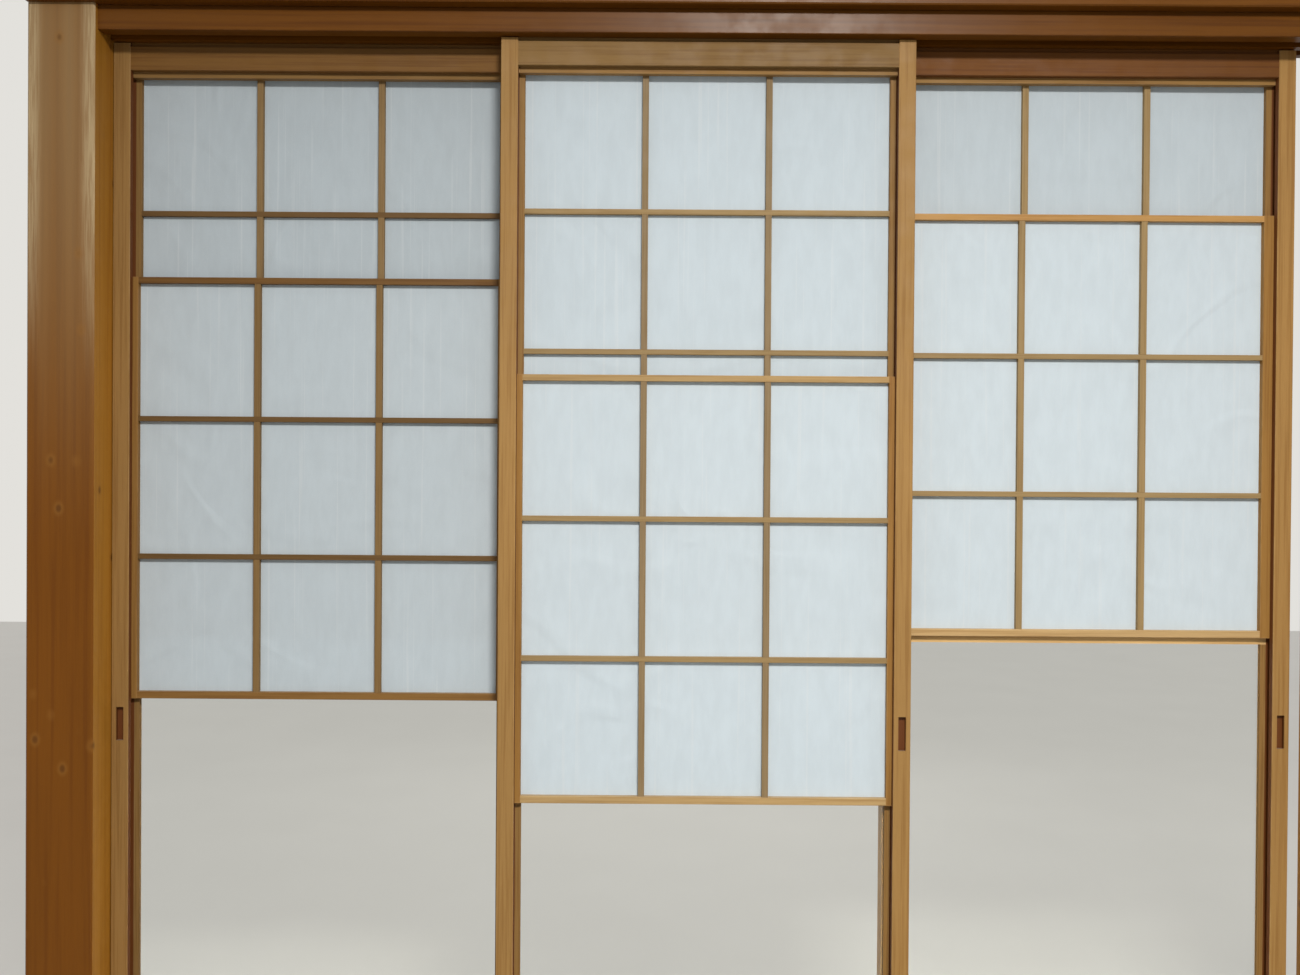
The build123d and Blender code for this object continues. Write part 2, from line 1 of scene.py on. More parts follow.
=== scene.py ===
# %% [markdown]
# Snow-viewing shoji in their frame
#
# Three shoji slide on two tracks between two posts. The wood, paper, glass and springs were all made as
# solids at their real sizes, so the work left for Blender is the finish of each piece, the slack of the
# glued paper, one small batten, the light of the room and the camera.

import math

import bpy
from mathutils import Matrix, Vector


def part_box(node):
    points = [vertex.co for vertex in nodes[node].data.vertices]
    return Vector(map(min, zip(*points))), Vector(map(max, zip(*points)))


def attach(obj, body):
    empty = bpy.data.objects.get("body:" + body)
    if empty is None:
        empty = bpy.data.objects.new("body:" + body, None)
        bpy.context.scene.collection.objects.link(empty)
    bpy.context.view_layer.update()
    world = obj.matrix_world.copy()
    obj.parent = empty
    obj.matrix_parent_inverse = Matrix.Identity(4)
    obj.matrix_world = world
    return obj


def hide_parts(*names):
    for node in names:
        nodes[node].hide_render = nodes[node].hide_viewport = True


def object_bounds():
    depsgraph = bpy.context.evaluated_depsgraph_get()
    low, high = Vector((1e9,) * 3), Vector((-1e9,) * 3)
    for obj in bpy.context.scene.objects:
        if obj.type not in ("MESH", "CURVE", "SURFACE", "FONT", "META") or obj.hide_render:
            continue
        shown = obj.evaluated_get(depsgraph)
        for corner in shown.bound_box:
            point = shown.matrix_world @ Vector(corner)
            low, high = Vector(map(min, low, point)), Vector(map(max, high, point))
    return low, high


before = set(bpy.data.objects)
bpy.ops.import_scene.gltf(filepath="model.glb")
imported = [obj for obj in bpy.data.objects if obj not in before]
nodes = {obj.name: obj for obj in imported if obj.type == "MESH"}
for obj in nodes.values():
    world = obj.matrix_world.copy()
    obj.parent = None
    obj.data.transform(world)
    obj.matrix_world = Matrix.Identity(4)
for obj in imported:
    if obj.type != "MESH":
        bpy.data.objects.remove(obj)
cad_low, cad_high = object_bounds()
MM = 0.001
SIDES = ("left", "middle", "right")
print(len(nodes), "pieces, from", tuple(cad_low), "to", tuple(cad_high))

# %% [markdown]
# Placing nodes and joining them
#
# Materials could be built one call at a time, but every tree here repeats the same acts: add a node, set
# its sockets, and join it to the next. A helper for each keeps the recipes short enough to read as
# recipes.

# %% Helpers that place and join nodes


def feed(tree, socket, value):
    """Join a socket to another node's output, or give it a plain value."""
    if isinstance(value, bpy.types.NodeSocket):
        tree.links.new(value, socket)
    else:
        socket.default_value = value


def fill(tree, node, inputs):
    """Feed a node's inputs by name. Underscores stand for spaces."""
    for key, value in inputs.items():
        feed(tree, node.inputs[key.replace("_", " ")], value)


def put(tree, kind, **inputs):
    """Add a node with its inputs."""
    node = tree.nodes.new(kind)
    fill(tree, node, inputs)
    return node


def new_material(name):
    """Start a material: itself, its tree, its shader and the object's own coordinates."""
    material = bpy.data.materials.new(name)
    material.use_nodes = True
    tree = material.node_tree
    place = tree.nodes.new("ShaderNodeTexCoord").outputs["Object"]
    return material, tree, tree.nodes["Principled BSDF"], place


def dress(piece, material):
    """Give one piece a single material."""
    piece.data.materials.clear()
    piece.data.materials.append(material)


# %% [markdown]
# Sums, colours and patterns
#
# All patterns here are arithmetic on places and noise, because a picture has one scale and repeats. Few
# kinds of step are needed: sums, a soft step from one range to another, a mix of two colours or two
# shaders, and noise.

# %% Helpers for sums, colours and patterns


def sum_of(tree, operation, first, second=0.0, third=0.0, clamp=False):
    """One step of arithmetic on numbers."""
    node = tree.nodes.new("ShaderNodeMath")
    node.operation = operation
    node.use_clamp = clamp
    for socket, value in zip(node.inputs, (first, second, third)):
        feed(tree, socket, value)
    return node.outputs[0]


def vector_sum(tree, operation, first, second):
    """One step of arithmetic on places."""
    node = tree.nodes.new("ShaderNodeVectorMath")
    node.operation = operation
    feed(tree, node.inputs[0], first)
    feed(tree, node.inputs[1], second)
    return node.outputs[0]


def apart(tree, place):
    """The three numbers of a place."""
    return put(tree, "ShaderNodeSeparateXYZ", Vector=place).outputs


def spread(tree, value, low, high, to_low=0.0, to_high=1.0):
    """Stretch a range of numbers over another one, with soft ends."""
    node = tree.nodes.new("ShaderNodeMapRange")
    node.interpolation_type = "SMOOTHSTEP"
    ends = {"Value": value, "From Min": low, "From Max": high, "To Min": to_low, "To Max": to_high}
    fill(tree, node, ends)
    return node.outputs["Result"]


def blend(tree, share, first, second, how="MIX"):
    """Mix two colours."""
    node = tree.nodes.new("ShaderNodeMix")
    node.data_type = "RGBA"
    node.blend_type = how
    feed(tree, node.inputs["Factor"], share)
    colour_inputs = [socket for socket in node.inputs if socket.type == "RGBA"]
    feed(tree, colour_inputs[0], first)
    feed(tree, colour_inputs[1], second)
    return [socket for socket in node.outputs if socket.type == "RGBA"][0]


def mix_shaders(tree, share, first, second):
    """Mix two shaders."""
    node = tree.nodes.new("ShaderNodeMixShader")
    for socket, value in zip(node.inputs, (share, first, second)):
        feed(tree, socket, value)
    return node.outputs[0]


def clouds(tree, place, scale, detail=2.0, roughness=0.5, distortion=0.0):
    """Noise as a number from 0 to 1, with so many clouds to the metre."""
    node = put(
        tree,
        "ShaderNodeTexNoise",
        Vector=place,
        Scale=scale,
        Detail=detail,
        Roughness=roughness,
        Distortion=distortion,
    )
    return node.outputs["Fac"]


def long_clouds(tree, place, stretch, scale, **noise):
    """Noise that is drawn out: the smaller a number of the stretch, the longer the clouds that way."""
    return clouds(tree, vector_sum(tree, "MULTIPLY", place, stretch), scale, **noise)


def paint(red, green, blue):
    """A colour as seen on a screen, 0 to 255, turned into the linear colour that shaders use."""
    return tuple((c / 255) ** 2.2 for c in (red, green, blue)) + (1.0,)


def tinted(colour, tint):
    """A screen colour times a tint."""
    return tuple(c * t for c, t in zip(paint(*colour), tint)) + (1.0,)


# %% [markdown]
# Node groups
#
# Grain, worn corners, unsanded recesses and dust are on many pieces of wood, each with its own values. A
# node group is built once and placed in every material that needs it. It puts out only a colour, a mask
# or a height, and the shader stays in the material.

# %% Helpers for node groups


def new_group(name, inputs, outputs):
    """Start a node group with named sockets, and return it with its two ends."""
    group = bpy.data.node_groups.new(name, "ShaderNodeTree")
    for label, kind in inputs:
        group.interface.new_socket(label, in_out="INPUT", socket_type="NodeSocket" + kind)
    for label, kind in outputs:
        group.interface.new_socket(label, in_out="OUTPUT", socket_type="NodeSocket" + kind)
    return group, group.nodes.new("NodeGroupInput").outputs, group.nodes.new("NodeGroupOutput").inputs


def use(tree, group, **inputs):
    """Place a node group in a material."""
    node = tree.nodes.new("ShaderNodeGroup")
    node.node_tree = group
    fill(tree, node, inputs)
    return node.outputs


# %% [markdown]
# Straight grain
#
# The wood is a straight-grained softwood, planed and left bare. Real boards could be copied with a
# picture, but a picture repeats and has one scale. Noise that is drawn out along the board makes grain
# of any length: thin dark lines of late wood, finer fibres between them, and slow drifts of tone.

# %% Group for straight grain
ALONG_THE_BOARD = (1.0, 1.0, 0.018)
WANDERS_PER_METRE = 26.0
WANDER_BY = (0.012, 0.012, 0.0)
LATE_WOOD_FROM, LATE_WOOD_TO = 0.42, 0.68
FIBRES_PER_METRE = 2600.0
FIBRE_TONES = (0.93, 1.04)
SLOW_DRIFT = (6.0, 6.0, 1.6)
DRIFT_TONES = (-0.07, 0.06)
straight_grain, given, out = new_group(
    "Straight grain",
    [
        ("Along Z", "Vector"),
        ("Pale", "Color"),
        ("Dark", "Color"),
        ("Lines per Metre", "Float"),
        ("Contrast", "Float"),
    ],
    [("Color", "Color"), ("Height", "Float")],
)
drawn = vector_sum(straight_grain, "MULTIPLY", given["Along Z"], ALONG_THE_BOARD)
wander = clouds(straight_grain, drawn, WANDERS_PER_METRE, detail=1.0)
sideways = put(straight_grain, "ShaderNodeCombineXYZ", X=wander, Y=wander).outputs[0]
wander_by = vector_sum(straight_grain, "MULTIPLY", sideways, WANDER_BY)
bent = vector_sum(straight_grain, "ADD", drawn, wander_by)
late_wood = clouds(straight_grain, bent, given["Lines per Metre"], roughness=0.55)
lines = spread(straight_grain, late_wood, LATE_WOOD_FROM, LATE_WOOD_TO)
fibres = clouds(straight_grain, drawn, FIBRES_PER_METRE, roughness=0.6)
drift = long_clouds(straight_grain, given["Along Z"], SLOW_DRIFT, 1.0)
dark_share = sum_of(straight_grain, "MULTIPLY", lines, given["Contrast"], clamp=True)
grain_colour = blend(straight_grain, dark_share, given["Pale"], given["Dark"])
fibre_tone = spread(straight_grain, fibres, 0.25, 0.75, *FIBRE_TONES)
drift_tone = spread(straight_grain, drift, 0.3, 0.7, *DRIFT_TONES)
tone = sum_of(straight_grain, "ADD", fibre_tone, drift_tone)
toned = put(straight_grain, "ShaderNodeHueSaturation", Value=tone, Color=grain_colour)
half_fibres = sum_of(straight_grain, "MULTIPLY", fibres, 0.5)
feed(straight_grain, out["Color"], toned.outputs["Color"])
feed(straight_grain, out["Height"], sum_of(straight_grain, "MULTIPLY_ADD", lines, 0.5, half_fibres))
print("straight grain:", len(straight_grain.nodes), "nodes")

# %% [markdown]
# Worn edges
#
# Hands and cloths wear the corners of a rail paler than its faces. A Bevel node could find corners, but
# it is slow and the export can't keep it. Every rail here is a plain bar, so the distance to its nearest
# corner is arithmetic on its own box: near two faces at once means on a corner. Of the distances to the
# nearest face in each of the three directions, the longest is left out and the other two are added.

# %% Group for worn edges
WEAR_PATCHES_PER_METRE = 40.0
WEAR_RANGE = (0.4, 1.6)
worn_edges, given, out = new_group(
    "Worn edges",
    [("Place", "Vector"), ("Low", "Vector"), ("High", "Vector"), ("Width", "Float")],
    [("Mask", "Float")],
)
from_low = vector_sum(worn_edges, "SUBTRACT", given["Place"], given["Low"])
from_high = vector_sum(worn_edges, "SUBTRACT", given["High"], given["Place"])
away = apart(worn_edges, vector_sum(worn_edges, "MINIMUM", from_low, from_high))
total = sum_of(worn_edges, "ADD", sum_of(worn_edges, "ADD", away[0], away[1]), away[2])
longest = sum_of(worn_edges, "MAXIMUM", sum_of(worn_edges, "MAXIMUM", away[0], away[1]), away[2])
to_corner = sum_of(worn_edges, "SUBTRACT", total, longest)
patches = clouds(worn_edges, given["Place"], WEAR_PATCHES_PER_METRE, detail=3.0)
patchy = spread(worn_edges, patches, 0.3, 0.7, *WEAR_RANGE)
worn_width = sum_of(worn_edges, "MULTIPLY", given["Width"], patchy)
feed(worn_edges, out["Mask"], spread(worn_edges, to_corner, 0.0, worn_width, 1.0, 0.0))
print("worn edges:", len(worn_edges.nodes), "nodes")

# %% [markdown]
# Unsanded and shaded recesses
#
# The faces were sanded pale long after the shoji were made, and the tool didn't reach into the grooves,
# pulls and inner sides, which kept their old brown. The same brown also stands for the shade that falls
# in the grooves and pulls, so it is partly painted shade. The mask asks how far a point lies behind the
# nearest broad face, and leaves out the side that faces the next panel.

# %% Group for recesses: old brown and painted shade
RAGGED_STRETCH = (1.0, 1.0, 0.12)
RAGGED_PER_METRE = 160.0
RAGGED_DEPTH = 1.2 * MM
JUST_BEHIND = 0.2 * MM
SIDE_NEAR, SIDE_FAR = 0.4 * MM, 1.2 * MM
unsanded_and_shaded, given, out = new_group(
    "Unsanded and shaded recess",
    [
        ("Place", "Vector"),
        ("Front", "Float"),
        ("Back", "Float"),
        ("Sanded Side", "Float"),
        ("Reach", "Float"),
    ],
    [("Mask", "Float")],
)
where_at = apart(unsanded_and_shaded, given["Place"])
from_front = sum_of(unsanded_and_shaded, "SUBTRACT", where_at[1], given["Front"])
from_back = sum_of(unsanded_and_shaded, "SUBTRACT", given["Back"], where_at[1])
behind = sum_of(unsanded_and_shaded, "MINIMUM", from_front, from_back)
ragged = long_clouds(unsanded_and_shaded, given["Place"], RAGGED_STRETCH, RAGGED_PER_METRE, detail=3.0)
behind_ragged = sum_of(unsanded_and_shaded, "MULTIPLY_ADD", ragged, -RAGGED_DEPTH, behind)
deep = spread(unsanded_and_shaded, behind_ragged, JUST_BEHIND, given["Reach"])
from_side = sum_of(unsanded_and_shaded, "ABSOLUTE", sum_of(unsanded_and_shaded, "SUBTRACT", where_at[0], given["Sanded Side"]))
off_side = spread(unsanded_and_shaded, from_side, SIDE_NEAR, SIDE_FAR)
feed(unsanded_and_shaded, out["Mask"], sum_of(unsanded_and_shaded, "MULTIPLY", deep, off_side))
print("unsanded recess:", len(unsanded_and_shaded.nodes), "nodes")

# %% [markdown]
# Settled dust
#
# A little grey dust lies on every ledge. It is a mask that is strong where the surface faces up, broken
# by noise, so it shows on the tops of cross bars and rails and nowhere else.

# %% Group for settled dust
LEVEL_FROM, LEVEL_TO = 0.8, 0.98
DUST_PATCHES_PER_METRE = 55.0
DUST_RANGE = (0.35, 1.0)
settled_dust, given, out = new_group(
    "Settled dust",
    [("Place", "Vector"), ("Facing", "Vector"), ("Amount", "Float")],
    [("Mask", "Float")],
)
upward = spread(settled_dust, apart(settled_dust, given["Facing"])[2], LEVEL_FROM, LEVEL_TO)
patches = clouds(settled_dust, given["Place"], DUST_PATCHES_PER_METRE, detail=4.0, roughness=0.6)
broken = spread(settled_dust, patches, 0.3, 0.65, *DUST_RANGE)
lying = sum_of(settled_dust, "MULTIPLY", upward, broken)
feed(settled_dust, out["Mask"], sum_of(settled_dust, "MULTIPLY", lying, given["Amount"], clamp=True))
print("settled dust:", len(settled_dust.nodes), "nodes")

# %% [markdown]
# Woods
#
# Two kinds of wood are in the object. The frame's is dark, polished by years of wiping and never sanded.
# The shoji's is pale and matt, with finer grain the thinner the piece is, because thin bars are split
# from the best of the plank. Each row holds the pale and dark of the grain, how many lines it has to the
# metre, how strong they are, how rough and how raised the surface is, and how glossy.

# %% The woods
POLISHED = dict(lines=110.0, contrast=0.45, rough=(0.36, 0.48), relief=0.03, specular=0.2)
WIPED = dict(lines=120.0, contrast=0.6, rough=(0.3, 0.38), relief=0.02, specular=0.17)
SANDED = dict(contrast=0.6, rough=(0.52, 0.68), relief=0.05, specular=0.3)
SMALL = dict(contrast=0.6, rough=(0.56, 0.72), relief=0.04, specular=0.3)
FINISHES = {
    "post": dict(POLISHED, pale=(118, 71, 17), dark=(98, 54, 9)),
    # The post's inner side: the post's wood made paler and yellower, as painted light on that side.
    "post_lit_side": dict(POLISHED, pale=(166, 114, 43), dark=(140, 89, 25)),
    "head": dict(WIPED, pale=(109, 67, 19), dark=(85, 48, 9)),
    "stile": dict(SANDED, pale=(168, 129, 75), dark=(142, 102, 52), lines=240.0),
    "rail": dict(SANDED, pale=(166, 130, 80), dark=(140, 102, 56), lines=220.0),
    "bar": dict(SMALL, pale=(160, 134, 92), dark=(134, 106, 66), lines=420.0, contrast=0.5),
    "strip": dict(SMALL, pale=(152, 116, 66), dark=(124, 86, 44), lines=330.0),
    "sash": dict(SANDED, pale=(190, 158, 108), dark=(160, 124, 76), lines=300.0, relief=0.04),
}
print(len(FINISHES), "woods")

# %% [markdown]
# Boxes and faces
#
# Worn corners and recesses are told by a piece's own box, and a few pieces need a second grain direction
# or tone on some of their faces. Both are found by place, because the meshes that come from the solids
# are left as they are.

# %% Helpers for boxes and faces


def span_of(points):
    """The lowest and the highest corner of the box round some points."""
    lowest = Vector([min(point[axis] for point in points) for axis in range(3)])
    highest = Vector([max(point[axis] for point in points) for axis in range(3)])
    return lowest, highest


def box_of(piece):
    """The box of a piece's mesh."""
    return span_of([vertex.co for vertex in piece.data.vertices])


def dress_faces(piece, material, where):
    """Give a second material to the faces that pass a test of their lowest and highest corner."""
    piece.data.materials.append(material)
    slot = len(piece.data.materials) - 1
    for face in piece.data.polygons:
        lowest, highest = span_of([piece.data.vertices[i].co for i in face.vertices])
        if where(lowest, highest):
            face.material_index = slot


# %% [markdown]
# Steps of the wood recipe
#
# One recipe serves every piece of wood: grain, then worn corners, then the old brown and painted shade of
# the recesses, then marks, then dust. Each piece gets its own material, because each board starts at
# another place in the tree and was cut from another plank. The Mapping node moves the grain by the
# plank's number and turns it along that piece's own length.

# %% The steps of the wood recipe
GRAIN_AXIS = {"x": (0.0, math.pi / 2, 0.0), "z": (0.0, 0.0, 0.0)}
PLANK_STEP = (0.37, 0.61, 0.23)
WORN_WIDTH = 1.6 * MM
WORN_LIGHTER, WORN_SATURATION, WORN_SHARE = 1.22, 0.92, 0.7
# The recesses' dark brown is partly old wood that was never sanded and partly painted shade.
OLD_BROWN_AND_SHADE = paint(106, 54, 13)
RECESS_REACH = 2.2 * MM
RECESS_SHARE, GRAIN_IN_BROWN = 0.9, 0.35


def plank(tree, place, look, axis, number, tint):
    """The grain of one plank."""
    mapping = put(tree, "ShaderNodeMapping", Vector=place)
    mapping.inputs["Rotation"].default_value = GRAIN_AXIS[axis]
    mapping.inputs["Location"].default_value = tuple(step * number for step in PLANK_STEP)
    return use(
        tree,
        straight_grain,
        Along_Z=mapping.outputs[0],
        Pale=tinted(look["pale"], tint),
        Dark=tinted(look["dark"], tint),
        Lines_per_Metre=look["lines"],
        Contrast=look["contrast"],
    )


def worn(tree, place, colour, low, high):
    """Paler corners."""
    corners = use(tree, worn_edges, Place=place, Low=low, High=high, Width=WORN_WIDTH)["Mask"]
    paler = put(
        tree,
        "ShaderNodeHueSaturation",
        Value=WORN_LIGHTER,
        Saturation=WORN_SATURATION,
        Color=colour,
    )
    return blend(tree, sum_of(tree, "MULTIPLY", corners, WORN_SHARE), colour, paler.outputs[0])


def browned_and_shaded(tree, place, colour, grain_colour, low, high, side):
    """Old brown of wood never sanded, and painted shade, in the recesses of a stile whose sanded outer
    side is at the given place.
    """
    hidden = use(
        tree,
        unsanded_and_shaded,
        Place=place,
        Front=low.y,
        Back=high.y,
        Sanded_Side=side,
        Reach=RECESS_REACH,
    )["Mask"]
    old = blend(tree, GRAIN_IN_BROWN, OLD_BROWN_AND_SHADE, grain_colour, "MULTIPLY")
    return blend(tree, sum_of(tree, "MULTIPLY", hidden, RECESS_SHARE), colour, old)


# %% [markdown]
# Putting the wood together
#
# The steps could be chained by hand for each of the nearly fifty wooden pieces. A single function that
# takes the piece, its wood, its grain direction and its plank's number does it for all, with a tint for
# the boards that differ and an optional function for marks that only some pieces have.

# %% Putting the wood together
DUST = paint(176, 160, 138)
PLAIN = (1.0, 1.0, 1.0)
SHEEN_PATCHES_PER_METRE = 30.0
GRAIN_DEPTH = 0.4 * MM
RELIEF_GAIN = 4


def wood(piece, finish, axis, number, tint=PLAIN, recess=None, dust=0.5, marks=None, where=None):
    """Finish one wooden piece, or its faces that pass a test, with the grain along the given axis."""
    look = FINISHES[finish]
    low, high = box_of(piece)
    material, tree, shader, place = new_material("wood_" + piece.name)
    grain = plank(tree, place, look, axis, number, tint)
    colour = worn(tree, place, grain["Color"], low, high)
    if recess is not None:
        colour = browned_and_shaded(tree, place, colour, grain["Color"], low, high, recess)
    if marks is not None:
        colour = marks(tree, place, colour, low, high)
    facing = tree.nodes.new("ShaderNodeNewGeometry").outputs["Normal"]
    lying = use(tree, settled_dust, Place=place, Facing=facing, Amount=dust)["Mask"]
    feed(tree, shader.inputs["Base Color"], blend(tree, lying, colour, DUST))
    sheen = clouds(tree, place, SHEEN_PATCHES_PER_METRE, detail=3.0)
    feed(tree, shader.inputs["Roughness"], spread(tree, sheen, 0.3, 0.7, *look["rough"]))
    feed(tree, shader.inputs["Specular IOR Level"], look["specular"])
    bump = put(
        tree,
        "ShaderNodeBump",
        Height=grain["Height"],
        Strength=look["relief"] * RELIEF_GAIN,
        Distance=GRAIN_DEPTH,
    )
    feed(tree, shader.inputs["Normal"], bump.outputs[0])
    if where is not None:
        dress_faces(piece, material, where)
    else:
        dress(piece, material)


# %% [markdown]
# Marks on the posts
#
# Besides its grain, a post's front has drawn-out pale streaks that come in towards the top, partly
# sapwood from where its plank left the heart of the tree and partly painted sheen of the lamp on the
# polished wood. Beside its upright corners, above the height of a hand, fine pale scratches are partly
# scuffs and partly a painted highlight along the corners, and a few pin knots stand where twigs once
# grew. All three could be painted by hand, but noise with a mask puts them there at the right scale:
# drawn-out noise for streaks and scratches, and Voronoi cells for knots.

# %% The posts' marks
# The streaks and scratches on the posts are partly sapwood and scuffs and partly painted sheen and
# highlight of the lamp.
SAPWOOD_SHEEN = paint(172, 146, 104)
SAP_SHEEN_FROM, SAP_SHEEN_TO = 0.95, 1.75
SAP_SHEEN_STRETCH = (1.0, 1.0, 0.02)
SAP_SHEEN_STREAKS_PER_METRE = 24.0
SAP_SHEEN_SHARES = (0.24, 0.62)
SCUFF_AND_HIGHLIGHT = paint(188, 164, 126)
SCUFF_GLINT_NEAR, SCUFF_GLINT_FAR = 7 * MM, 27 * MM
SCUFF_GLINT_FROM, SCUFF_GLINT_TO = 1.22, 1.6
SCRATCH_GLINT_STRETCH = (1.0, 1.0, 0.035)
SCRATCH_GLINTS_PER_METRE = 330.0
SCRATCH_GLINT_SHARES = (0.4, 0.95)
KNOT, KNOT_HALO = paint(62, 30, 8), paint(150, 104, 48)
KNOT_STRETCH = (1.0, 1.0, 0.7)
KNOTS_PER_METRE = 21.0
KNOT_EDGE, HALO_EDGE = (0.04, 0.13), (0.08, 0.24)
KNOT_SHARE, HALO_SHARE = 0.5, 0.35


def sapwood_and_sheen_streaks(tree, place, colour, low, high):
    """Pale streaks that come in towards the top: sapwood, and painted sheen of the lamp."""
    higher = spread(tree, apart(tree, place)[2], SAP_SHEEN_FROM, SAP_SHEEN_TO)
    streak = long_clouds(tree, place, SAP_SHEEN_STRETCH, SAP_SHEEN_STREAKS_PER_METRE, detail=1.0)
    share = sum_of(tree, "MULTIPLY", higher, spread(tree, streak, 0.3, 0.75, *SAP_SHEEN_SHARES))
    return blend(tree, share, colour, SAPWOOD_SHEEN)


def scuffed_and_glinting_arrises(tree, place, colour, low, high):
    """Fine pale scratches beside the upright corners, above the height of a hand: scuffs, and a painted
    highlight along the corners.
    """
    at = apart(tree, place)
    from_left = sum_of(tree, "SUBTRACT", at[0], low.x)
    from_right = sum_of(tree, "SUBTRACT", high.x, at[0])
    from_side = sum_of(tree, "MINIMUM", from_left, from_right)
    near = spread(tree, from_side, SCUFF_GLINT_NEAR, SCUFF_GLINT_FAR, 1.0, 0.0)
    higher = spread(tree, at[2], SCUFF_GLINT_FROM, SCUFF_GLINT_TO)
    scratch_glints = long_clouds(
        tree, place, SCRATCH_GLINT_STRETCH, SCRATCH_GLINTS_PER_METRE, detail=4.0, roughness=0.65
    )
    broken = spread(tree, scratch_glints, 0.36, 0.62, *SCRATCH_GLINT_SHARES)
    share = sum_of(tree, "MULTIPLY", sum_of(tree, "MULTIPLY", near, higher), broken)
    return blend(tree, share, colour, SCUFF_AND_HIGHLIGHT)


def pin_knots(tree, place, colour, low, high):
    """A few dark points with a pale halo, longer than wide."""
    stretched = vector_sum(tree, "MULTIPLY", place, KNOT_STRETCH)
    cells = put(tree, "ShaderNodeTexVoronoi", Vector=stretched, Scale=KNOTS_PER_METRE)
    away = cells.outputs["Distance"]
    haloed = blend(tree, spread(tree, away, *HALO_EDGE, HALO_SHARE, 0.0), colour, KNOT_HALO)
    return blend(tree, spread(tree, away, *KNOT_EDGE, KNOT_SHARE, 0.0), haloed, KNOT)


def post_marks(tree, place, colour, low, high):
    """All that a post's front shows besides its grain, with its painted sheen and highlight."""
    for mark in (sapwood_and_sheen_streaks, scuffed_and_glinting_arrises, pin_knots):
        colour = mark(tree, place, colour, low, high)
    return colour


# %% [markdown]
# The frame's wood
#
# Posts, head and sill were never sanded. They are darker, redder and polished by years of wiping, so they
# are smoother than the shoji and catch the lamp. A post's inner side beside the shoji gets a paler and
# yellower copy of the post's wood, which is painted light for the lamp that falls on that side. It is a
# second material on the faces that lie there.

# %% Dress the frame
POST_FACE = 0.5 * MM
SILL_TINT = (1.3, 1.3, 1.3)
left_post, right_post = nodes["post_left"], nodes["post_right"]
inner_left, inner_right = box_of(left_post)[1].x, box_of(right_post)[0].x
wood(left_post, "post", "z", 1, dust=0.3, marks=post_marks)
wood(right_post, "post", "z", 2, dust=0.3, marks=post_marks)
# The inner sides get the paler wood, painted light for the lamp on that side.
wood(
    left_post,
    "post_lit_side",
    "z",
    6,
    dust=0.3,
    marks=pin_knots,
    where=lambda lowest, highest: lowest.x > inner_left - POST_FACE,
)
wood(
    right_post,
    "post_lit_side",
    "z",
    7,
    dust=0.3,
    marks=pin_knots,
    where=lambda lowest, highest: highest.x < inner_right + POST_FACE,
)
wood(nodes["head_track"], "head", "x", 3, dust=0.3)
wood(nodes["head_trim"], "head", "x", 4, dust=0.6)
wood(nodes["sill_track"], "head", "x", 5, tint=SILL_TINT)
print("frame dressed, opening", round((inner_right - inner_left) / MM, 1), "mm wide")

# %% [markdown]
# The packing batten
#
# A trim that is nailed over two posts spans a gap above the head. Joiners close it with a batten behind
# the trim, so that no light comes through from the other side. A cube is drawn out to the batten's length
# and section, and a Bevel eases its long corners, as a plane would.

# %% The packing batten
BATTEN_WIDTH, BATTEN_HEIGHT = 12 * MM, 12 * MM
BATTEN_EASE = 1.2 * MM
SMOOTH_UNDER = math.radians(40)
trim_back = box_of(nodes["head_trim"])[1].y
head_top = box_of(nodes["head_track"])[1].z
batten_place = Vector(
    (
        (inner_left + inner_right) / 2,
        trim_back + BATTEN_WIDTH / 2,
        head_top + BATTEN_HEIGHT / 2,
    )
)
bpy.ops.object.select_all(action="DESELECT")
bpy.ops.mesh.primitive_cube_add(size=1, location=batten_place)
batten = bpy.context.object
batten.name = "packing_batten"
batten.scale = (inner_right - inner_left, BATTEN_WIDTH, BATTEN_HEIGHT)
bpy.ops.object.transform_apply(location=True, rotation=True, scale=True)
eased = batten.modifiers.new("eased", "BEVEL")
eased.width = BATTEN_EASE
eased.segments = 2
bpy.ops.object.modifier_apply(modifier="eased")
bpy.ops.object.shade_smooth_by_angle(angle=SMOOTH_UNDER)
wood(batten, "head", "x", 8, dust=0.6)
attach(batten, "frame")
print("batten from", tuple(box_of(batten)[0]), "to", tuple(box_of(batten)[1]))

# %% [markdown]
# Tones of the shoji
#
# Every panel has the same pieces but its own planks. The left panel is tinted darker, and its thin bars
# and its small sash browner. The top rails are darkened, partly for their own tone and partly as painted
# shadow from the head above them, most on the left and right panels. The small sashes' stiles are tinted
# a darker orange-brown, and the right waist rail is lightened as painted light where its small sash
# shades it. A table of tints keeps those differences in one place: a panel's own, and those of its
# pieces, for one side or for all.

